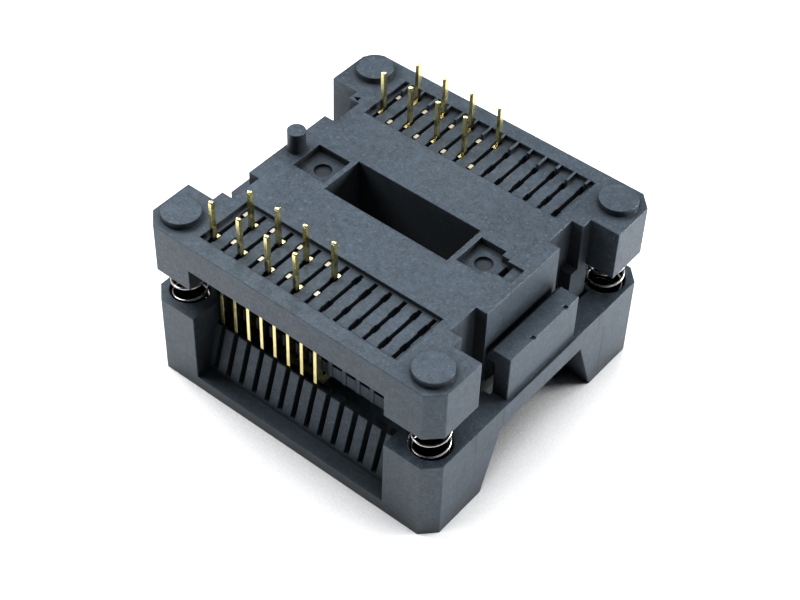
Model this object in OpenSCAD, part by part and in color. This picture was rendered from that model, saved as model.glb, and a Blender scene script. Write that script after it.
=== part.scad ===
// Open-top test socket for a small-outline IC, standing on its push-down cover with the
// contact tails up. Four springs hold the cover off the base; pushing the two together
// swings the contact levers back so that the IC can drop in through the cover.
// +X runs along the contact rows, +Y to the far row, +Z out of the tails.
// The origin is the middle of the cover's outer face.

/* [Overall] */
// Length of base and cover, along the contact rows
body_w = 26.3; // [22:0.1:31]
// Depth of the base
body_d = 25.1; // [21.5:0.1:29]
// Set-back of the cover's long sides from the base's
cover_step = 0.05; // [0:0.01:0.1]
// Chamfer of the upright corners
corner_c = 1.1; // [0.6:0.05:1.3]
// Height of the cover's corner towers
cover_h = 7.26; // [7.1:0.02:7.4]
// Gap between towers and base, which pushing the cover closes
rest_gap = 3.09; // [3.05:0.01:3.3]
// Height of the base's corner blocks
ear_h = 4.3; // [4:0.1:4.8]
// Thickness of the base plate between the corner blocks
plate_t = 2.4; // [2.2:0.1:2.6]
// Thickness of the cover's side bars
bar_t = 1.1; // [1:0.05:1.2]

/* [Base] */
// Length of the corner blocks
ear_w = 4.3; // [4.2:0.05:4.4]
// Depth of the corner blocks
ear_d = 4.67; // [4.6:0.01:4.8]
// Set-back of the centre block and the guide necks from the ends
block_step = 2.4; // [2.35:0.05:2.45]
// Set-back of the side notches from the ends
notch_step = 3.37; // [3.3:0.01:3.45]
// Width of the guide necks
neck_w = 0.96; // [0.8:0.02:1]
// Side of the centre block, from the inner edge of the corner blocks
block_gap = 3.73; // [3.7:0.01:3.9]
// End of the window through the base, from the ends
window_step = 7.6; // [7.5:0.05:8]
// Part of the centre block's depth that the window takes
window_part = 0.463; // [0.4:0.001:0.5]
// Rib between the window and the recesses beside it
recess_rib = 0.42; // [0.35:0.01:0.5]
// Length of the left recess
recess_l = 2.95; // [2.8:0.05:3]
// Length of the wide part of the right recess
recess_r = 2.18; // [2.1:0.02:2.3]
// Part of the centre block's depth that the recesses take
recess_part = 0.35; // [0.3:0.01:0.4]
// Depth of the recesses
recess_depth = 0.6; // [0.3:0.05:0.8]
// Radius of the round dimples in the recesses
dimple_r = 0.67; // [0.5:0.01:0.7]
// Length of the slot in the right end
slot_l = 0.6; // [0.5:0.05:0.7]
// Width of the slot in the right end
slot_w = 1.5; // [1.2:0.05:1.6]
// Depth of the slot in the right end
slot_depth = 2.2; // [1.5:0.1:2.5]
// Height of the standoff discs
disc_h = 0.55; // [0.3:0.05:0.8]
// Radius of the standoff discs
disc_r = 1.46; // [1.2:0.02:1.6]
// Middle of the discs, from the ends
disc_end = 1.92; // [1.9:0.01:2]
// Middle of the discs, from the sides
disc_side = 2; // [1.9:0.01:2.1]
// Radius of the locating post
post_r = 0.7; // [0.5:0.05:0.75]
// Height of the locating post
post_h = 1.8; // [1:0.1:2.5]
// Middle of the locating post, from the left end
post_end = 3.3; // [3.2:0.01:3.35]
// Side of the pin 1 triangle
mark_w = 0.5; // [0.4:0.05:0.6]
// Depth of the sunk contact fields
field_depth = 0.38; // [0.2:0.02:0.5]
// Outer edge of the contact fields, from the sides
field_side = 1.3; // [1.25:0.01:1.35]
// Width of the contact fields
field_w = 4.85; // [4.8:0.01:4.9]
// Height of the seat for the IC body above the cover's outer face
seat_z = 6.3; // [6.2:0.05:6.4]
// Depth of the end locators below the seat
locator_h = 1.9; // [1:0.1:2]
// Thickness of the end locators
locator_t = 0.55; // [0.4:0.05:0.6]
// Width of the lead-in slope of the end locators
locator_c = 0.35; // [0.2:0.05:0.4]
// Thickness of the base's end walls
end_wall_t = 0.68; // [0.6:0.02:0.68]
// Depth of the guide legs, across the rows
leg_d = 2.1; // [1.9:0.05:2.2]
// Part of the guide legs behind the corner blocks
leg_lap = 0.32; // [0.2:0.02:0.35]
// Height of the feet of legs and end walls above the cover's outer face
leg_z = 4.6; // [4.4:0.1:5]
// Thickness of the fins between the contacts
fin_t = 0.37; // [0.3:0.01:0.4]
// Depth of the fins
fin_d = 0.7; // [0.6:0.05:0.8]
// Height of the fins' feet above the cover's outer face
fin_z = 5.8; // [5.6:0.1:6]
// Height of the rail that ties the fins together
rail_h = 1.15; // [0.9:0.05:1.3]
// Reach of the catch ledge from the centre block
catch_d = 0.6; // [0.45:0.05:0.6]

/* [Cover] */
// Foot of the finger arch, from the inner edge of the corner blocks
arch_foot_gap = 1.13; // [1.05:0.01:1.2]
// Flat top of the finger arch, from the side of the centre block
arch_top_gap = 0.6; // [0.5:0.05:0.7]
// Height of the finger arch
arch_h = 5.45; // [5.2:0.05:5.6]
// Set-back of the hook plates' sides from the centre block's
hook_step = 0.18; // [0.1:0.02:0.4]
// Thickness of the hook plates
hook_t = 1.25; // [1.2:0.05:1.3]
// Rim left outside the hook plates
hook_rim = 0.3; // [0.25:0.01:0.35]
// Height of the hook plates above the towers
hook_h = 4.09; // [3.9:0.01:4.2]
// Height of the hook's beak
beak_h = 1.1; // [0.9:0.05:1.12]
// Reach of the hook's beak at its tip
beak_d = 0.3; // [0.2:0.05:0.35]
// Width of the nicks in the top of the hook plates
nick_w = 0.3; // [0.2:0.05:0.4]
// Distance between the two nicks
nick_gap = 3.8; // [3:0.1:4]
// Middle of the two nicks, from the middle of the plate
nick_mid = 0.65; // [0:0.05:0.8]
// Set-back of the side bars' inner edges from the centre block's side
bar_gap = 1.25; // [1.2:0.05:1.3]
// Lead-in chamfer of the side bars' inner edges
bar_c = 0.4; // [0.2:0.05:0.5]
// Height of the comb above the cover's outer face
comb_h = 5; // [4.6:0.05:5.2]
// Inner face of the comb, from the sides
comb_side = 3.1; // [3.05:0.01:3.15]
// Depth of the comb at its top
comb_top = 0.65; // [0.5:0.05:0.8]
// Depth of the comb at its foot
comb_foot = 1.75; // [1.5:0.05:1.85]
// Width of the comb's slots
comb_slot = 0.45; // [0.42:0.01:0.5]
// Height of the bottom of the comb's slots
comb_floor = 1.45; // [1.3:0.05:1.5]
// Clearance between the cover and the parts of the base that move inside it
guide_gap = 0.25; // [0.2:0.01:0.3]

/* [Springs] */
// Middle of the springs, from the ends
spring_end = 1.95; // [1.92:0.01:2]
// Middle of the springs, from the sides
spring_side = 2.25; // [2.2:0.01:2.3]
// Mean radius of the coils
coil_r = 1.32; // [1.25:0.01:1.34]
// Diameter of the spring wire
wire_d = 0.22; // [0.18:0.01:0.24]
// Free turns of each spring
coil_turns = 7.25; // [5:0.25:8]
// Radius of the spring pockets
spring_pocket_r = 1.55; // [1.5:0.01:1.57]
// Height of the pocket floor in the cover
pocket_floor = 1.5; // [1.3:0.05:2]
// Depth of the spring seat in the corner block
spring_seat = 0.5; // [0.3:0.05:0.8]

/* [Contacts] */
// Distance between neighbouring contact positions
pitch = 1.27; // [1.26:0.001:1.275]
// Ends of the contact rows, from the ends of the body
row_end = 4.26; // [4.2:0.01:4.3]
// Contacts in each row, counted from the left end
contact_count = 8; // [1:1:8]
// Thickness of the contact strip
contact_t = 0.28; // [0.24:0.01:0.3]
// Play of a contact in its slit, on each side
slit_gap = 0.02; // [0.01:0.01:0.04]
// Width of the contact tails
tail_w = 0.37; // [0.3:0.01:0.5]
// Length of the tails above the base
tail_h = 3.1; // [2.5:0.1:4]
// Outer tail line, from the sides
tail_side = 2.1; // [2.05:0.01:2.15]
// Distance between the outer and the inner tail line
tail_step = 2.48; // [2.4:0.01:2.54]
// Width of the shoulder beside a tail
shoulder_w = 0.75; // [0.6:0.05:0.8]
// Depth of the shoulders below the base's top face
shoulder_step = 0.42; // [0.4:0.01:0.5]
// Depth of the contact bodies' lower edge below the base's top face
body_step = 2.6; // [2.5:0.05:2.7]
// Height of the contact bodies
strip_h = 1.3; // [1.2:0.05:1.4]
// Width of the stub at the end away from the tail
stub_w = 0.45; // [0.35:0.05:0.5]
// Width of the tail notches
notch_w = 0.45; // [0.38:0.01:0.5]
// Outer edge of the contact lever, from the sides
lever_side = 2.45; // [2.4:0.01:2.47]
// Width of the contact lever
lever_w = 0.7; // [0.6:0.02:0.7]
// Height of the lever's tip above the cover's outer face
lever_z = 4.75; // [4.7:0.01:4.8]
// Height of the arm that presses on the IC lead
arm_h = 0.75; // [0.7:0.01:0.8]
// Gap between the arm's tip and the centre block
tip_gap = 0.55; // [0.5:0.01:0.6]
// Gap between the fixed finger and the centre block
finger_gap = 0.2; // [0.15:0.01:0.25]
// Height of the fixed finger
finger_h = 0.5; // [0.4:0.05:0.6]
// Width of the fixed finger's stem
stem_w = 0.65; // [0.6:0.05:0.7]

/* [Hidden] */
overlap = 0.1;
end_x = body_w / 2;
side_y = body_d / 2;
slot_count = max(contact_count, floor((body_w - 2 * row_end) / pitch + 0.01));
row_x = slot_count * pitch / 2;
z_ear = cover_h + rest_gap;
z_top = z_ear + ear_h;
z_plate = z_top - plate_t;
z_row = z_plate - strip_h;
ear_x = end_x - ear_w;
ear_y = side_y - ear_d;
neck_y = ear_y - neck_w;
block_x = end_x - block_step;
block_y = ear_y - block_gap;
inset_x = end_x - notch_step;
window_x = end_x - window_step;
window_y = block_y * window_part;
recess_x = window_x + recess_rib;
recess_y = block_y * recess_part;
slot_x = recess_x + recess_l - 0.12;
field_x = ear_x - overlap / 2;
field_out = side_y - field_side;
field_in = field_out - field_w;
tail_out = side_y - tail_side;
tail_in = tail_out - tail_step;
lever_y = side_y - lever_side;
comb_y = side_y - comb_side;
slit_in = field_in + overlap;
slit_w = contact_t + 2 * slit_gap;
slit_rib = slit_w * 0.62;
notch_depth = 4 * field_depth;
locator_x = row_x + (locator_t - fin_t) / 2 + 0.07;
leg_out = ear_y + leg_lap;
tower_y = leg_out + guide_gap - 0.05;
wall_x = block_x + guide_gap;
fin_out = comb_y - guide_gap;
fin_in = fin_out - fin_d;
hook_x = end_x - hook_rim;
hook_in = hook_x - hook_t;
hook_y = block_y - hook_step;
hook_z = cover_h + hook_h;
beak_z = hook_z - beak_h;
ledge_z = beak_z - guide_gap / 2;
catch_y = hook_y - guide_gap;
arch_foot = ear_y - arch_foot_gap;
arch_top = block_y + arch_top_gap;
bar_y = block_y + bar_gap;
tip_y = block_y + tip_gap;
stem_y = field_in + guide_gap;
body_z = z_top - body_step;
shoulder_z = z_top - shoulder_step;
spring_top = z_ear + spring_seat;
$fn = 48;

function pos_x(k) = (k - (slot_count + 1) / 2) * pitch;
function tail_y(outer) = outer ? tail_out : tail_in;
function end_y(outer) = outer ? tail_out + tail_w / 2 : lever_y;

// Rectangle with chamfered corners, centred
module cut_rect(w, d, c) {
    polygon([
        [c - w / 2, -d / 2],
        [w / 2 - c, -d / 2],
        [w / 2, c - d / 2],
        [w / 2, d / 2 - c],
        [w / 2 - c, d / 2],
        [c - w / 2, d / 2],
        [-w / 2, d / 2 - c],
        [-w / 2, c - d / 2]
    ]);
}

// The same child at both ends or both sides
module both(axis) {
    children();
    mirror(axis)
        children();
}

// Upright extrusion of a profile drawn in Y and Z, centred on X
module across(length) {
    rotate([90, 0, 90])
        linear_extrude(length, center = true)
            children();
}

// Upright extrusion of a profile drawn in X and Z, centred on Y
module along(length) {
    rotate([90, 0, 0])
        linear_extrude(length, center = true)
            children();
}

// Plan of the base plate: corner blocks, necks, side notches and centre block
module base_plan() {
    difference() {
        cut_rect(body_w, body_d, corner_c);
        both([1, 0, 0])
            translate([block_x, -ear_y])
                square([body_w, 2 * ear_y]);
        both([1, 0, 0])
            both([0, 1, 0])
                translate([inset_x, block_y])
                    square([body_w, neck_y - block_y]);
    }
}

// Corner blocks of base and cover
module corner_plan(d, inner_x, inner_y) {
    intersection() {
        cut_rect(body_w, d, corner_c);
        both([1, 0, 0])
            both([0, 1, 0])
                translate([inner_x, inner_y])
                    square([body_w, d]);
    }
}

// Slit and the two notches of one contact position
module position_cuts(outer, far) {
    slit_end = far ? end_y(outer) + 0.03 : field_out - overlap / 2;
    translate([-slit_w / 2, slit_in, z_row - 1])
        cube([slit_w, slit_end - slit_in, z_top]);
    for (y = outer ? [[stub_y(outer), stub_w], [tail_out + tail_w / 2 - shoulder_w, shoulder_w]]
                   : [[tail_in + tail_w / 2 - shoulder_w, shoulder_w], [stub_y(outer), stub_w]])
        translate([-notch_w / 2, y[0] - overlap, z_top - notch_depth])
            cube([notch_w, y[1] + 2 * overlap, 2 * notch_depth]);
}

// Inner edge of the stub, which stands at the end away from the tail
function stub_y(outer) = outer ? slit_in + stub_w : lever_y - stub_w - overlap;

// Openings of one contact row, drawn on the far side
module row_cuts(far) {
    translate([-field_x, field_in, z_top - field_depth])
        cube([2 * field_x, field_w, 2 * field_depth]);
    for (k = [1:slot_count])
        translate([pos_x(k), 0, 0])
            position_cuts(far ? k % 2 == 0 : k % 2 == 1, far);
}

// Ribs that carry on from the far field's slits to its outer wall
module slit_ribs() {
    for (k = [1:slot_count])
        translate([pos_x(k) - slit_rib / 2, end_y(k % 2 == 0) + 0.03, z_plate + slit_rib])
            cube([slit_rib, field_out - lever_y, plate_t - slit_rib]);
}

// Fins between the contacts, tied together by a rail along their feet
module fins() {
    for (k = [0:slot_count])
        translate([pos_x(k) + pitch / 2 - fin_t / 2, fin_in, fin_z])
            cube([fin_t, fin_d, z_plate - fin_z + overlap]);
    translate([-row_x, fin_in + overlap, fin_z])
        cube([2 * row_x, fin_d - 1.5 * overlap, rail_h]);
}

// Catch ledge with a sloping underside on the end of the centre block
module catch_ledge() {
    along(2 * catch_y)
        polygon([
            [block_x - overlap, cover_h + guide_gap],
            [block_x, cover_h + guide_gap],
            [block_x + catch_d, cover_h + guide_gap + beak_h],
            [block_x + catch_d, ledge_z],
            [block_x - overlap, ledge_z]
        ]);
}

// Wall that closes the side notch below the plate, and the guide leg beside it
module end_guard() {
    translate([inset_x - end_wall_t, block_y - overlap, leg_z])
        cube([end_wall_t, leg_out - block_y + overlap, z_plate - leg_z + overlap]);
    translate([inset_x - overlap, leg_out - leg_d, leg_z])
        cube([block_x - inset_x + overlap, leg_d, z_ear + 1.5 * overlap - leg_z]);
    translate([inset_x - overlap, neck_y, leg_z])
        cube([block_x - inset_x + overlap, leg_out - neck_y, z_plate - leg_z + overlap]);
}

// End locator with the slope that leads the IC onto its seat
module locator() {
    along(5 * recess_y)
        polygon([
            [locator_x, seat_z + overlap],
            [locator_x, seat_z - locator_h + 2 * locator_c],
            [locator_x + locator_c, seat_z - locator_h],
            [locator_x + locator_t, seat_z - locator_h],
            [locator_x + locator_t, seat_z + overlap]
        ]);
}

module base_solid() {
    translate([0, 0, z_plate])
        linear_extrude(plate_t)
            base_plan();
    translate([0, 0, z_ear])
        linear_extrude(ear_h)
            corner_plan(body_d, ear_x, ear_y);
    translate([-block_x, -block_y, seat_z])
        cube([2 * block_x, 2 * block_y, z_top - seat_z]);
    both([1, 0, 0])
        locator();
    both([1, 0, 0])
        catch_ledge();
    both([0, 1, 0])
        translate([overlap - inset_x, block_y - overlap, z_row])
            cube([2 * (inset_x - overlap), fin_out - block_y + overlap, plate_t]);
    both([0, 1, 0])
        fins();
    both([1, 0, 0])
        both([0, 1, 0])
            end_guard();
    for (x = [-1, 1], y = [-1, 1])
        translate([x * (end_x - disc_end), y * (side_y - disc_side), z_top])
            cylinder(h = disc_h, r = disc_r);
    translate([post_end - end_x, 0, z_top])
        cylinder(h = post_h, r = post_r);
}

// Window, recesses and slot in the top of the centre block
module block_cuts() {
    translate([-window_x, -window_y, 0])
        cube([2 * window_x, 2 * window_y, z_top + 1]);
    translate([-recess_x - recess_l, -recess_y, z_top - recess_depth])
        cube([recess_l, 2 * recess_y, 2 * recess_depth]);
    translate([recess_x, -recess_y, z_top - recess_depth])
        cube([recess_r, 2 * recess_y, 2 * recess_depth]);
    translate([recess_x, -recess_y * 0.65, z_top - recess_depth])
        cube([slot_x - recess_x, recess_y * 1.3, 2 * recess_depth]);
    both([1, 0, 0])
        translate([recess_x + recess_l * 0.46, 0, z_top - 1.4 * recess_depth])
            cylinder(h = 2 * recess_depth, r = dimple_r);
    translate([slot_x - overlap, -slot_w / 2, z_top - slot_depth])
        cube([slot_l, slot_w, 2 * slot_depth]);
    translate([slot_x, -slot_w / 2, z_top - recess_depth / 2])
        cube([slot_l + 0.8, slot_w, recess_depth]);
}

// Sunk triangle beside pin 1
module pin_mark() {
    translate([overlap * 2 - block_x, neck_y + mark_w / 2 + overlap, z_top - mark_w / 2])
        linear_extrude(mark_w)
            polygon([[0, 0], [mark_w, -mark_w / 2], [mark_w, mark_w / 2]]);
}

module base_housing() {
    color([0.13, 0.14, 0.16]) {
        difference() {
            base_solid();
            block_cuts();
            pin_mark();
            row_cuts(true);
            mirror([0, 1, 0])
                row_cuts(false);
            for (x = [-1, 1], y = [-1, 1])
                translate([x * (end_x - spring_end), y * (side_y - spring_side), z_ear - 1])
                    cylinder(h = spring_seat + 1, r = spring_pocket_r);
        }
        slit_ribs();
    }
}

// Comb with its sloping outer face and the slots for the levers
module comb() {
    difference() {
        across(2 * (ear_x + overlap))
            polygon([
                [comb_y, bar_t - overlap],
                [comb_y + comb_foot + overlap, bar_t - overlap],
                [comb_y + comb_foot, comb_floor],
                [comb_y + comb_top, comb_h],
                [comb_y, comb_h]
            ]);
        for (k = [1:slot_count])
            translate([pos_x(k) - comb_slot / 2, comb_y - 1, comb_floor])
                cube([comb_slot, comb_foot + 2, comb_h]);
    }
}

// End wall with the finger arch and the recess for the catch ledge
module end_wall() {
    difference() {
        translate([(wall_x + end_x) / 2, 0, 0])
            across(end_x - wall_x)
                difference() {
                    translate([-tower_y - overlap, 0])
                        square([2 * (tower_y + overlap), cover_h]);
                    polygon([[-arch_foot, -1], [-arch_foot, 0], [-arch_top, arch_h],
                        [arch_top, arch_h], [arch_foot, 0], [arch_foot, -1]]);
                }
        translate([0, -block_y - guide_gap / 2, -1])
            cube([hook_in, 2 * block_y + guide_gap, cover_h + 2]);
    }
}

// Hook plate whose beak catches over the ledge of the base
module hook() {
    difference() {
        along(2 * hook_y)
            polygon([
                [hook_x, cover_h - 0.5],
                [hook_x, hook_z],
                [hook_in - beak_d, hook_z],
                [wall_x - 0.05, hook_z - 1.5 * beak_d],
                [wall_x - 0.05, beak_z],
                [hook_in, beak_z],
                [hook_in, cover_h - 0.5]
            ]);
        for (y = [-1, 1])
            translate([hook_x - nick_w, nick_mid + (y * nick_gap - nick_w) / 2, hook_z - nick_w / 2])
                cube([2 * nick_w, nick_w, 2 * nick_w]);
    }
}

module cover() {
    cover_d = body_d - 2 * cover_step;
    color([0.12, 0.13, 0.15])
        difference() {
            union() {
                linear_extrude(bar_t)
                    difference() {
                        cut_rect(body_w, cover_d, corner_c);
                        square([2 * wall_x, 2 * bar_y], center = true);
                        square([2 * body_w, 2 * arch_foot], center = true);
                    }
                both([0, 1, 0])
                    translate([-wall_x, bar_y, 0])
                        cube([2 * wall_x, arch_foot - bar_y + overlap, bar_t]);
                linear_extrude(cover_h)
                    corner_plan(cover_d, ear_x, comb_y);
                linear_extrude(cover_h)
                    corner_plan(cover_d, ear_x + 0.5, tower_y);
                both([1, 0, 0])
                    end_wall();
                both([0, 1, 0])
                    comb();
                both([1, 0, 0])
                    hook();
            }
            both([0, 1, 0])
                across(2 * wall_x)
                    polygon([[bar_y - 1, bar_c + 1], [bar_y + bar_c + 1, -1], [bar_y - 1, -1]]);
            for (x = [-1, 1], y = [-1, 1])
                translate([x * (end_x - spring_end), y * (side_y - spring_side), pocket_floor])
                    cylinder(h = cover_h, r = spring_pocket_r);
        }
}

// Tail, shoulders and body of a contact
module contact_head(outer) {
    y = tail_y(outer);
    translate([slit_in + overlap, body_z])
        square([end_y(outer) - slit_in - overlap, strip_h]);
    translate([y + tail_w / 2 - shoulder_w, body_z + strip_h - overlap])
        square([shoulder_w, shoulder_z - body_z - strip_h + overlap]);
    translate([stub_y(outer), body_z + strip_h - overlap])
        square([stub_w, shoulder_z - body_z - strip_h + overlap]);
    translate([y - tail_w / 2, shoulder_z - overlap])
        square([tail_w, z_top + tail_h - tail_w / 2 - shoulder_z + overlap]);
    translate([y, z_top + tail_h - tail_w / 2])
        circle(tail_w / 2);
}

// Lever that the comb pushes back, with the arm that presses on the IC lead
module contact_lever() {
    in = lever_y - lever_w;
    polygon([
        [in, body_z + strip_h / 2],
        [lever_y, body_z + strip_h / 2],
        [lever_y, lever_z + 0.85 * lever_w],
        [lever_y - lever_w / 2, lever_z],
        [in, lever_z + overlap],
        [tip_y + 0.75 * arm_h, lever_z + overlap],
        [tip_y, seat_z - arm_h],
        [tip_y, seat_z - arm_h / 2],
        [tip_y + arm_h / 2, seat_z - arm_h / 2],
        [tip_y + arm_h, lever_z + arm_h],
        [in, lever_z + arm_h + overlap]
    ]);
}

// Fixed finger under the IC lead
module contact_finger() {
    polygon([
        [stem_y, body_z + strip_h / 2],
        [stem_y + stem_w, body_z + strip_h / 2],
        [stem_y + stem_w, seat_z + 1.5 * finger_h],
        [stem_y + stem_w / 2, seat_z + 0.6 * finger_h],
        [tip_y + finger_h, seat_z],
        [block_y + finger_gap, seat_z],
        [block_y + finger_gap, seat_z + finger_h],
        [stem_y, seat_z + 2.2 * finger_h]
    ]);
}

module contact(k, outer) {
    color([0.86, 0.72, 0.36])
        translate([pos_x(k), 0, 0]) {
            across(contact_t)
                contact_head(outer);
            across(contact_t)
                contact_lever();
            across(contact_t)
                contact_finger();
        }
}

// Centre line of a coil: closed end turns, free turns between them
function coil_z(t) =
    let (bottom = pocket_floor + wire_d / 2 + 0.01, top = spring_top - wire_d / 2 - 0.01,
        closed = wire_d * 1.05, rise = top - bottom - 2 * closed)
    t < 1 ? bottom + closed * t
        : t > coil_turns + 1 ? top - closed * (coil_turns + 2 - t)
        : bottom + closed + rise * (t - 1) / coil_turns;

module spring() {
    steps = round(12 * (coil_turns + 2));
    sides = 6;
    points = [
        for (i = [0:steps]) for (j = [0:sides - 1])
            let (t = i * (coil_turns + 2) / steps, a = 360 * t, b = 360 * j / sides,
                r = coil_r + wire_d / 2 * cos(b))
            [r * cos(a), r * sin(a), coil_z(t) + wire_d / 2 * sin(b)]
    ];
    faces = concat(
        [[for (j = [0:sides - 1]) j]],
        [for (i = [0:steps - 1]) for (j = [0:sides - 1])
            [i * sides + j, (i + 1) * sides + j, (i + 1) * sides + (j + 1) % sides, i * sides + (j + 1) % sides]],
        [[for (j = [0:sides - 1]) steps * sides + sides - 1 - j]]
    );
    color([0.8, 0.8, 0.82])
        polyhedron(points, faces, convexity = 10);
}

// A spring in its corner, turned to where its wire starts
module placed_spring(x, y, turn) {
    translate([x * (end_x - spring_end), y * (side_y - spring_side), 0])
        rotate([0, 0, turn])
            spring();
}

base_housing();
cover();
for (k = [1:contact_count]) {
    mirror([0, 1, 0]) contact(k, k % 2 == 1);
    contact(k, k % 2 == 0);
}
placed_spring(-1, -1, 110);  // near_left_spring
placed_spring(1, -1, 108);  // near_right_spring
placed_spring(-1, 1, 60);  // far_left_spring
placed_spring(1, 1, 345);  // far_right_spring
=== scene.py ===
"""Looks of the open-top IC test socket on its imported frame: camera, materials, springs, floor, light."""

import math

import bpy
from mathutils import Matrix, Vector


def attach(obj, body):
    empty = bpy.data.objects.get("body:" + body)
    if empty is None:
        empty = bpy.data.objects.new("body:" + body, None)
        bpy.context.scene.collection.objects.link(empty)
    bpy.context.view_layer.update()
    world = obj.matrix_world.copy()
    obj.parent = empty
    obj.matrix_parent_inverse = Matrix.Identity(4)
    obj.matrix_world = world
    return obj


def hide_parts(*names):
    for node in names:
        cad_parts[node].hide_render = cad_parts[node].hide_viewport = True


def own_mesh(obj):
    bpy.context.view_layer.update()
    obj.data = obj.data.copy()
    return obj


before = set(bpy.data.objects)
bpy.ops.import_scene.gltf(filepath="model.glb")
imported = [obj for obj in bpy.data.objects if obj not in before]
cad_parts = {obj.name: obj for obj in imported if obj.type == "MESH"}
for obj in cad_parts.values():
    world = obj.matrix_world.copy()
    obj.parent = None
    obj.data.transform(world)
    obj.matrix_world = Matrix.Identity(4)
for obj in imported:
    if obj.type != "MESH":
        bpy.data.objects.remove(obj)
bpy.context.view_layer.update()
MM = 0.001


# camera, fitted to the photograph: degrees, millimetres and pixels
CAMERA_AZIMUTH = 37.759
CAMERA_ELEVATION = 46.052
CAMERA_ROLL = 2.084
CAMERA_DISTANCE = 133.92
CAMERA_SHIFT_RIGHT = 0.251
CAMERA_SHIFT_UP = 3.788
FOCAL_LENGTH_PX = 1753.18
PHOTO_WIDTH_PX = 800.0
SENSOR_WIDTH = 36.0
CLIP_NEAR = 10.0
CLIP_FAR = 10000.0


def make_camera():
    az = math.radians(CAMERA_AZIMUTH)
    el = math.radians(CAMERA_ELEVATION)
    roll = math.radians(CAMERA_ROLL)
    back = Vector((math.sin(az) * math.cos(el), -math.cos(az) * math.cos(el), math.sin(el)))
    right = Vector((math.cos(az), math.sin(az), 0.0))
    up = back.cross(right)
    x_axis = right * math.cos(roll) + up * math.sin(roll)
    y_axis = -right * math.sin(roll) + up * math.cos(roll)
    place = (x_axis * CAMERA_SHIFT_RIGHT + y_axis * CAMERA_SHIFT_UP + back * CAMERA_DISTANCE) * MM
    turn = Matrix((x_axis, y_axis, back)).transposed().to_4x4()
    cam = bpy.data.objects.new("camera", bpy.data.cameras.new("camera"))
    bpy.context.scene.collection.objects.link(cam)
    cam.matrix_world = Matrix.Translation(place) @ turn
    cam.data.sensor_fit = "HORIZONTAL"
    cam.data.sensor_width = SENSOR_WIDTH
    cam.data.lens = FOCAL_LENGTH_PX / PHOTO_WIDTH_PX * SENSOR_WIDTH
    cam.data.clip_start = CLIP_NEAR * MM
    cam.data.clip_end = CLIP_FAR * MM
    bpy.context.scene.camera = cam


make_camera()


# node helpers
# sockets of the Mix node when it mixes colours
MIX_FACTOR = 0
MIX_A = 6
MIX_B = 7
MIX_RESULT = 2
# samples that the bevel and occlusion nodes take
NODE_SAMPLES = 4
# noise values in this span run from the low to the high end of what they set
NOISE_SPAN = (0.3, 0.7)


def new_material(name):
    mat = bpy.data.materials.new(name)
    mat.use_nodes = True
    tree = mat.node_tree
    shader = tree.nodes["Principled BSDF"]
    return mat, tree, shader


def add(tree, kind, **settings):
    """A new node of the kind, with its settings."""
    node = tree.nodes.new(kind)
    for key, value in settings.items():
        setattr(node, key, value)
    return node


def object_coords(tree):
    return add(tree, "ShaderNodeTexCoord").outputs["Object"]


def noise(tree, coords, scale, detail, rough, stretch=None):
    """Noise with scale features per metre, drawn out where a stretch is given."""
    if stretch:
        mapping = add(tree, "ShaderNodeMapping")
        mapping.inputs["Scale"].default_value = stretch
        tree.links.new(coords, mapping.inputs["Vector"])
        coords = mapping.outputs["Vector"]
    pattern = add(tree, "ShaderNodeTexNoise")
    pattern.inputs["Scale"].default_value = scale
    pattern.inputs["Detail"].default_value = detail
    pattern.inputs["Roughness"].default_value = rough
    tree.links.new(coords, pattern.inputs["Vector"])
    return pattern.outputs["Fac"]


def ramp(tree, source, span, low, high):
    """The source with its span laid over low to high and clamped there."""
    node = add(tree, "ShaderNodeMapRange")
    for key, value in zip(("From Min", "From Max", "To Min", "To Max"), (*span, low, high)):
        node.inputs[key].default_value = value
    tree.links.new(source, node.inputs["Value"])
    return node.outputs["Result"]


def set_or_link(tree, socket, value):
    """Sets the socket to a number or a colour, or links it to another socket."""
    if isinstance(value, (int, float)):
        socket.default_value = value
    elif isinstance(value, tuple):
        socket.default_value = (*value, 1.0)
    else:
        tree.links.new(value, socket)


def mix_colour(tree, factor, a, b):
    """Colour a where the factor is 0 and b where it is 1."""
    node = add(tree, "ShaderNodeMix", data_type="RGBA")
    set_or_link(tree, node.inputs[MIX_FACTOR], factor)
    set_or_link(tree, node.inputs[MIX_A], a)
    set_or_link(tree, node.inputs[MIX_B], b)
    return node.outputs[MIX_RESULT]


def darkened(tree, colour, grey):
    """The colour times the grey."""
    node = add(tree, "ShaderNodeMix", data_type="RGBA", blend_type="MULTIPLY")
    node.inputs[MIX_FACTOR].default_value = 1.0
    tree.links.new(colour, node.inputs[MIX_A])
    tree.links.new(grey, node.inputs[MIX_B])
    return node.outputs[MIX_RESULT]


def math_node(tree, operation, *values):
    """The result of one math node on values or sockets."""
    node = add(tree, "ShaderNodeMath", operation=operation)
    for socket, value in zip(node.inputs, values):
        set_or_link(tree, socket, value)
    return node.outputs[0]


def add_values(tree, a, b, weight):
    """a plus weight times b."""
    return math_node(tree, "MULTIPLY_ADD", b, weight, a)


def bumped(tree, shader, height, strength, distance, edge=None):
    """Grain from the height and, where an edge radius is given, edges that read as slightly broken."""
    bump = add(tree, "ShaderNodeBump")
    bump.inputs["Strength"].default_value = strength
    bump.inputs["Distance"].default_value = distance * MM
    tree.links.new(height, bump.inputs["Height"])
    if edge:
        round_edge = add(tree, "ShaderNodeBevel", samples=NODE_SAMPLES)
        round_edge.inputs["Radius"].default_value = edge * MM
        tree.links.new(round_edge.outputs["Normal"], bump.inputs["Normal"])
    tree.links.new(bump.outputs["Normal"], shader.inputs["Normal"])


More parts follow.
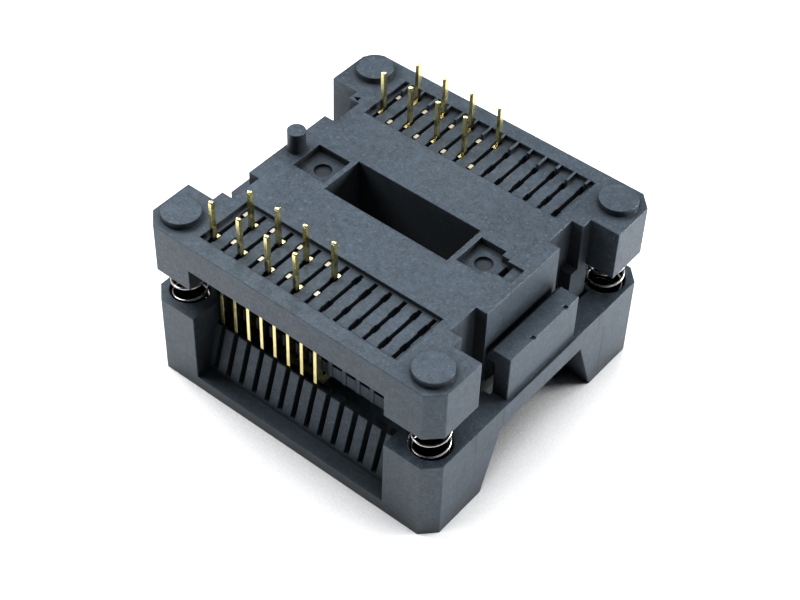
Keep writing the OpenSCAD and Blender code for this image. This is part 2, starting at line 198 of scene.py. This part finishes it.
def painted_shade(tree, reach, span, deepest, local):
    """Painted shade: 1 on open faces, falling to deepest where faces within reach, in millimetres, shut
    the place in.

    Local counts the piece's own faces only, and otherwise the other pieces and the floor count too.
    """
    shade = add(tree, "ShaderNodeAmbientOcclusion", samples=NODE_SAMPLES, only_local=local)
    shade.inputs["Distance"].default_value = reach * MM
    return ramp(tree, shade.outputs["AO"], span, deepest, 1.0)


def box_mask(tree, coords, centre, half, soft, inside):
    """The inside value in a box given in millimetres, rising to 1 over the soft width outside it."""
    split = add(tree, "ShaderNodeSeparateXYZ")
    tree.links.new(coords, split.inputs[0])
    outside = 0.0
    for place, middle, reach in zip(split.outputs, centre, half):
        away = math_node(tree, "SUBTRACT", place, middle * MM)
        beyond = math_node(tree, "SUBTRACT", math_node(tree, "ABSOLUTE", away), reach * MM)
        outside = math_node(tree, "MAXIMUM", beyond, outside)
    return ramp(tree, outside, (0.0, soft * MM), inside, 1.0)


def ball_mask(tree, coords, centre, radius, soft, inside):
    """The inside value in a ball given in millimetres, rising to 1 over the soft width outside it."""
    away = add(tree, "ShaderNodeVectorMath", operation="DISTANCE")
    away.inputs[1].default_value = Vector(centre) * MM
    tree.links.new(coords, away.inputs[0])
    return ramp(tree, away.outputs["Value"], (radius * MM, (radius + soft) * MM), inside, 1.0)


# plastic: each noise has its features per metre, detail and roughness
PLASTIC_GRAIN = (5200, 3.0, 0.65)
PLASTIC_CLOUD = (300, 5.0, 0.6)
PLASTIC_MOTTLE = (1700, 4.0, 0.6)
PLASTIC_SPECKS = (3600, 1.0, 0.4)
GRAIN_SPAN = (0.38, 0.62)
MOTTLE_SPAN = (0.36, 0.64)
SPECK_SPAN = (0.67, 0.74)
# shares of the pale tone
CLOUD_SHARE = 0.3
MOTTLE_SHARE = 0.3
GRAIN_SHARE = 0.4
SPECK_SHARE = 1.6
# painted shade multiplied into the colour: reach in millimetres, span from shut in to open, deepest grey,
# own faces only
HOLLOW_PAINTED_SHADE = (4.5, (0.40, 0.88), 0.01, True)
SHUT_IN_PAINTED_SHADE = (12.0, (0.34, 0.80), 0.02, True)
NEIGHBOUR_PAINTED_SHADE = (3.6, (0.36, 0.92), 0.02, False)
# added to the plastic's own roughness by the clouds and the grain, and taken off where it is open
CLOUD_ROUGHNESS = (0.44, 0.55)
GRAIN_ROUGHNESS = 0.08
SHADE_ROUGHNESS = -0.50
SPECULAR_LEVEL = 0.5
SPECULAR_TINT = (0.74, 0.88, 1.0, 1.0)
# bump: share of the mottle, strength, depth and radius of a broken edge, millimetres
MOTTLE_HEIGHT = 0.8
PLASTIC_BUMP = 0.6
PLASTIC_BUMP_DEPTH = 0.03
PLASTIC_EDGE = 0.16
# soft width and grey of the painted shade in the dimples, and of the lines
DIMPLE_SOFT = 0.05
DIMPLE_PAINTED_SHADE = 0.4
LINE_SOFT = 0.04
LINE_GREY = 0.02


def moulded_plastic(name, dark, pale, roughness, lines=(), dimples=()):
    """Glass-filled moulded plastic: fine mottled grain, cloudy patches, a few pale fibre specks and the
    faint lines that the mould's inserts leave, with painted shade in its ejector dimples, its hollows and
    beside other pieces."""
    mat, tree, shader = new_material(name)
    coords = object_coords(tree)
    grain = noise(tree, coords, *PLASTIC_GRAIN)
    cloud = noise(tree, coords, *PLASTIC_CLOUD)
    mottle = noise(tree, coords, *PLASTIC_MOTTLE)
    specks = ramp(tree, noise(tree, coords, *PLASTIC_SPECKS), SPECK_SPAN, 0.0, 1.0)
    tone = ramp(tree, cloud, NOISE_SPAN, 0.0, CLOUD_SHARE)
    tone = add_values(tree, tone, ramp(tree, mottle, MOTTLE_SPAN, 0.0, 1.0), MOTTLE_SHARE)
    tone = add_values(tree, tone, ramp(tree, grain, GRAIN_SPAN, 0.0, 1.0), GRAIN_SHARE)
    tone = add_values(tree, tone, specks, SPECK_SHARE)
    body = mix_colour(tree, tone, dark, pale)
    # painted shade: the colour darkens in hollows, in shut-in places and where other pieces stand close
    hollow_painted_shade = painted_shade(tree, *HOLLOW_PAINTED_SHADE)
    shut_in_painted_shade = painted_shade(tree, *SHUT_IN_PAINTED_SHADE)
    body = darkened(tree, body, painted_shade(tree, *NEIGHBOUR_PAINTED_SHADE))
    # painted shade in the bottoms of the dimples
    for centre, radius in dimples:
        body = darkened(tree, body, ball_mask(tree, coords, centre, radius, DIMPLE_SOFT, DIMPLE_PAINTED_SHADE))
    for centre, half in lines:
        body = darkened(tree, body, box_mask(tree, coords, centre, half, LINE_SOFT, LINE_GREY))
    # painted shade of the hollows and shut-in places multiplied into the colour
    body = darkened(tree, darkened(tree, body, hollow_painted_shade), shut_in_painted_shade)
    tree.links.new(body, shader.inputs["Base Color"])
    least, most = CLOUD_ROUGHNESS
    rough = ramp(tree, cloud, NOISE_SPAN, roughness + least, roughness + most)
    rough = add_values(tree, rough, grain, GRAIN_ROUGHNESS)
    rough = add_values(tree, rough, shut_in_painted_shade, SHADE_ROUGHNESS)
    tree.links.new(rough, shader.inputs["Roughness"])
    shader.inputs["Specular IOR Level"].default_value = SPECULAR_LEVEL
    shader.inputs["Specular Tint"].default_value = SPECULAR_TINT
    height = add_values(tree, grain, mottle, MOTTLE_HEIGHT)
    bumped(tree, shader, height, PLASTIC_BUMP, PLASTIC_BUMP_DEPTH, PLASTIC_EDGE)
    return mat


# gold: noises with their features per metre, detail, roughness and stretch
GOLD_LINES = (9000, 2.0, 0.5, (1.0, 1.0, 0.04))
GOLD_CLOUD = (900, 3.0, 0.6)
GOLD_DARK = (0.74, 0.62, 0.22)
GOLD_PALE = (0.95, 0.86, 0.44)
BARE_METAL = (0.50, 0.45, 0.36)
# painted shade between the contacts and against other pieces
GOLD_PAINTED_SHADE = (2.5, (0.40, 0.85), 0.03, False)
GOLD_ROUGHNESS = (0.42, 0.52)
GOLD_LINES_ROUGHNESS = 0.10
PLATED_ROUGHNESS = -0.30
GOLD_BUMP = 0.25
GOLD_BUMP_DEPTH = 0.006
GOLD_EDGE = 0.03
# bare stub ends: lines of the inner and outer stubs, top face and half size, millimetres
INNER_STUB_Y = 7.175
OUTER_STUB_Y = 9.775
STUB_TOP = 14.23
STUB_HALF = (9.5, 0.25, 0.04)
STUB_SOFT = 0.03
STUB_GREY = 0.02


def plated_gold(name, stub_y):
    """Gold-plated copper-alloy strip with drawn lines along the tails, bare metal where the stubs
    were sheared off, and painted shade where its neighbours and the housing close it in."""
    mat, tree, shader = new_material(name)
    coords = object_coords(tree)
    lines = noise(tree, coords, *GOLD_LINES)
    cloud = noise(tree, coords, *GOLD_CLOUD)
    body = mix_colour(tree, ramp(tree, cloud, NOISE_SPAN, 0.0, 1.0), GOLD_DARK, GOLD_PALE)
    near_end = box_mask(tree, coords, (0.0, -stub_y, STUB_TOP), STUB_HALF, STUB_SOFT, STUB_GREY)
    far_end = box_mask(tree, coords, (0.0, stub_y, STUB_TOP), STUB_HALF, STUB_SOFT, STUB_GREY)
    plated = math_node(tree, "MULTIPLY", near_end, far_end)
    body = mix_colour(tree, plated, BARE_METAL, body)
    # painted shade multiplied into the gold
    body = darkened(tree, body, painted_shade(tree, *GOLD_PAINTED_SHADE))
    tree.links.new(body, shader.inputs["Base Color"])
    shader.inputs["Metallic"].default_value = 1.0
    rough = ramp(tree, cloud, NOISE_SPAN, *GOLD_ROUGHNESS)
    rough = add_values(tree, rough, lines, GOLD_LINES_ROUGHNESS)
    rough = add_values(tree, rough, plated, PLATED_ROUGHNESS)
    tree.links.new(rough, shader.inputs["Roughness"])
    bumped(tree, shader, lines, GOLD_BUMP, GOLD_BUMP_DEPTH, GOLD_EDGE)
    return mat


# spring steel, in the same order as the gold
STEEL_LINES = (6000, 2.0, 0.5, (0.3, 0.3, 1.0))
STEEL_CLOUD = (700, 3.0, 0.6)
STEEL_DARK = (0.46, 0.45, 0.44)
STEEL_PALE = (0.70, 0.68, 0.65)
# painted shade of the wire in its pocket
STEEL_PAINTED_SHADE = (4.0, (0.30, 0.75), 0.02, False)
STEEL_ROUGHNESS = (0.24, 0.34)
STEEL_BUMP = 0.1
STEEL_BUMP_DEPTH = 0.002


def spring_wire(name):
    """Bright drawn spring wire, with painted shade where its pocket and other pieces close it in."""
    mat, tree, shader = new_material(name)
    coords = object_coords(tree)
    lines = noise(tree, coords, *STEEL_LINES)
    cloud = noise(tree, coords, *STEEL_CLOUD)
    body = mix_colour(tree, ramp(tree, cloud, NOISE_SPAN, 0.0, 1.0), STEEL_DARK, STEEL_PALE)
    # painted shade multiplied into the steel
    body = darkened(tree, body, painted_shade(tree, *STEEL_PAINTED_SHADE))
    tree.links.new(body, shader.inputs["Base Color"])
    shader.inputs["Metallic"].default_value = 1.0
    tree.links.new(ramp(tree, lines, NOISE_SPAN, *STEEL_ROUGHNESS), shader.inputs["Roughness"])
    bumped(tree, shader, lines, STEEL_BUMP, STEEL_BUMP_DEPTH)
    return mat


# the mould's insert lines on the cover's right end face, millimetres
END_X = 13.15
LINE_HALF = 0.05
# middle y, middle z and half height of each line
LINE_PLACES = ((6.92, 6.5, 0.8), (7.75, 2.9, 2.5), (-4.61, 6.4, 0.9), (-7.74, 6.3, 1.0))
INSERT_LINES = [((END_X, y, z), (LINE_HALF, LINE_HALF, half_z)) for y, z, half_z in LINE_PLACES]
# the dimples beside the window, darkened with painted shade, millimetres
DIMPLE_X = 7.33
DIMPLE_Z = 13.9
DIMPLE_RADIUS = 0.67
EJECTOR_DIMPLES = [((side * DIMPLE_X, 0.0, DIMPLE_Z), DIMPLE_RADIUS) for side in (-1, 1)]
# the two mouldings: dark tone, pale tone and roughness
BASE_PLASTIC = ((0.003, 0.006, 0.010), (0.044, 0.060, 0.080), 0.46)
COVER_PLASTIC = ((0.003, 0.006, 0.010), (0.042, 0.057, 0.076), 0.44)

BASE = moulded_plastic("base_plastic_look", *BASE_PLASTIC, dimples=EJECTOR_DIMPLES)
COVER = moulded_plastic("cover_plastic_look", *COVER_PLASTIC, lines=INSERT_LINES)
INNER_STUB_GOLD = plated_gold("contact_gold_look", INNER_STUB_Y)
OUTER_STUB_GOLD = plated_gold("contact_gold_look_outer", OUTER_STUB_Y)
STEEL = spring_wire("spring_steel_look")


def dress(node, mat):
    """Puts the material on every slot of the node."""
    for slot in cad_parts[node].material_slots:
        slot.material = mat


# contacts: eight in each row, with their strip's edges rounded, millimetres and degrees
CONTACTS_PER_ROW = 8
WELD_REACH = 0.002
STRIP_EDGE = 0.05
EDGE_SEGMENTS = 3
SHARP_ANGLE = 50


def soften_edges(obj):
    """Welds the corners that the frame keeps apart and rounds the strip's edges."""
    weld = obj.modifiers.new("weld", "WELD")
    weld.merge_threshold = WELD_REACH * MM
    edge = obj.modifiers.new("edge", "BEVEL")
    edge.width = STRIP_EDGE * MM
    edge.segments = EDGE_SEGMENTS
    edge.limit_method = "ANGLE"
    edge.angle_limit = math.radians(SHARP_ANGLE)


def dress_contacts(side):
    """Gold on one row; the stub is on the inner line at odd near places and even far places."""
    for k in range(1, CONTACTS_PER_ROW + 1):
        contact = "%s_contact_%d" % (side, k)
        inner_stub = (k % 2 == 1) == (side == "near")
        dress(contact, INNER_STUB_GOLD if inner_stub else OUTER_STUB_GOLD)
        soften_edges(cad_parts[contact])


dress("base_housing", BASE)
dress("cover", COVER)
dress_contacts("near")
dress_contacts("far")


# springs: wire, radius to its middle, ends and places, millimetres
WIRE_D = 0.18
COIL_R = 1.32
SPRING_LOW = 1.5
SPRING_HIGH = 10.85
SPRING_X = 11.2
SPRING_Y = 10.3
# open turns, all turns with one closed at each end, rise of a closed turn in wire widths
TURNS = 7.25
ALL_TURNS = TURNS + 2
CLOSED_RISE = 1.05
# gap between the wire and each end, millimetres
END_CLEARANCE = 0.01
STEPS_PER_TURN = 40
WIRE_SIDES = 12
# side in x and y of each spring and the angle at which its wire starts, degrees
SPRINGS = {
    "near_left_spring": (-1, -1, 110),
    "near_right_spring": (1, -1, 108),
    "far_left_spring": (-1, 1, 60),
    "far_right_spring": (1, 1, 345),
}


def wire_mesh(name, points, radius, sides):
    """Round wire swept along points, closed at both ends."""
    verts = []
    faces = []
    last = len(points) - 1
    for i, p in enumerate(points):
        ahead = (points[min(i + 1, last)] - points[max(i - 1, 0)]).normalized()
        out = Vector((0, 0, 1)).cross(ahead).normalized()
        lift = ahead.cross(out)
        for j in range(sides):
            a = 2 * math.pi * j / sides
            verts.append(p + (out * math.cos(a) + lift * math.sin(a)) * radius)
    for i in range(last):
        for j in range(sides):
            a = i * sides + j
            b = i * sides + (j + 1) % sides
            faces.append((a, b, b + sides, a + sides))
    faces.append(tuple(range(sides))[::-1])
    faces.append(tuple(last * sides + j for j in range(sides)))
    mesh = bpy.data.meshes.new(name)
    mesh.from_pydata(verts, [], faces)
    mesh.update()
    for poly in mesh.polygons:
        poly.use_smooth = True
    obj = bpy.data.objects.new(name, mesh)
    bpy.context.scene.collection.objects.link(obj)
    return obj


def coil_height(t):
    """Height of the wire's middle after t turns, with one closed turn at each end, millimetres."""
    low = SPRING_LOW + WIRE_D / 2 + END_CLEARANCE
    high = SPRING_HIGH - WIRE_D / 2 - END_CLEARANCE
    closed = WIRE_D * CLOSED_RISE
    if t < 1:
        return low + closed * t
    if t > ALL_TURNS - 1:
        return high - closed * (ALL_TURNS - t)
    return low + closed + (high - low - 2 * closed) * (t - 1) / TURNS


def coil_spring(node, x, y, turn):
    """Round wire in place of the node's faceted coil."""
    steps = int(round(STEPS_PER_TURN * ALL_TURNS))
    points = []
    for i in range(steps + 1):
        t = i * ALL_TURNS / steps
        a = 2 * math.pi * t + math.radians(turn)
        points.append(Vector((x + COIL_R * math.cos(a), y + COIL_R * math.sin(a), coil_height(t))) * MM)
    obj = wire_mesh(node + "_wire", points, WIRE_D / 2 * MM, WIRE_SIDES)
    obj.data.materials.append(STEEL)
    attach(obj, "base")
    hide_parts(node)
    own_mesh(obj)


for spring, (side_x, side_y, start) in SPRINGS.items():
    coil_spring(spring, side_x * SPRING_X, side_y * SPRING_Y, start)


# floor: a sheet of paper, millimetres
FLOOR_HALF = 1500.0
FLOOR_DROP = 0.02
PAPER_NOISE = (300, 3.0, 0.5)
PAPER_DARK = (0.94, 0.945, 0.95)
PAPER_PALE = (0.96, 0.965, 0.97)
# painted shadow on the paper under and beside the part
PAPER_PAINTED_SHADOW = (25.0, (0.20, 0.44), 0.02, False)
PAPER_ROUGHNESS = 0.9
PAPER_SPECULAR = 0.1
# world: soft light on the part, and the white that the camera sees
SKY_COLOUR = (0.78, 0.88, 1.0, 1.0)
SKY_STRENGTH = 0.06
SEEN_COLOUR = (1.0, 1.0, 1.0, 1.0)
SEEN_STRENGTH = 1.0
# lights: place, aim and size in metres, and power in watts
LIGHTS = {
    "overhead": ((0.0, 0.035, 0.40), (0.0, 0.0, 0.008), (0.36, 0.28), 1.70),
    "back": ((-0.15, 0.19, 0.32), (0.0, 0.0, 0.008), (0.10, 0.10), 0.26),
    "left": ((-0.065, -0.02, 0.075), (-0.006, 0.0, 0.010), (0.05, 0.05), 0.11),
    "right": ((0.11, 0.11, 0.045), (0.012, 0.0, 0.010), (0.05, 0.05), 0.42),
}


def make_floor():
    half = FLOOR_HALF * MM
    corners = [(-half, -half, 0.0), (half, -half, 0.0), (half, half, 0.0), (-half, half, 0.0)]
    mesh = bpy.data.meshes.new("floor")
    mesh.from_pydata(corners, [], [(0, 1, 2, 3)])
    mesh.update()
    floor = bpy.data.objects.new("floor", mesh)
    bpy.context.scene.collection.objects.link(floor)
    floor.location.z = -FLOOR_DROP * MM
    mat, tree, shader = new_material("floor_paper")
    coords = object_coords(tree)
    paper = mix_colour(tree, noise(tree, coords, *PAPER_NOISE), PAPER_DARK, PAPER_PALE)
    # painted shadow of the part on the paper
    paper = darkened(tree, paper, painted_shade(tree, *PAPER_PAINTED_SHADOW))
    tree.links.new(paper, shader.inputs["Base Color"])
    shader.inputs["Roughness"].default_value = PAPER_ROUGHNESS
    shader.inputs["Specular IOR Level"].default_value = PAPER_SPECULAR
    mesh.materials.append(mat)


def background(tree, colour, strength):
    node = add(tree, "ShaderNodeBackground")
    node.inputs["Color"].default_value = colour
    node.inputs["Strength"].default_value = strength
    return node.outputs[0]


def make_world():
    world = bpy.data.worlds.new("studio")
    bpy.context.scene.world = world
    world.use_nodes = True
    tree = world.node_tree
    tree.nodes.clear()
    out = add(tree, "ShaderNodeOutputWorld")
    path = add(tree, "ShaderNodeLightPath")
    mix = add(tree, "ShaderNodeMixShader")
    sources = (path.outputs["Is Camera Ray"], background(tree, SKY_COLOUR, SKY_STRENGTH),
               background(tree, SEEN_COLOUR, SEEN_STRENGTH))
    for source, socket in zip(sources, mix.inputs):
        tree.links.new(source, socket)
    tree.links.new(mix.outputs[0], out.inputs["Surface"])


def area_light(name, place, aim, size, energy):
    data = bpy.data.lights.new(name, "AREA")
    data.shape = "RECTANGLE"
    data.size, data.size_y = size
    data.energy = energy
    obj = bpy.data.objects.new(name, data)
    bpy.context.scene.collection.objects.link(obj)
    obj.location = place
    obj.rotation_euler = (Vector(aim) - Vector(place)).to_track_quat("-Z", "Y").to_euler()


make_floor()
make_world()
for light, settings in LIGHTS.items():
    area_light(light, *settings)

bpy.context.scene.view_settings.view_transform = "Standard"
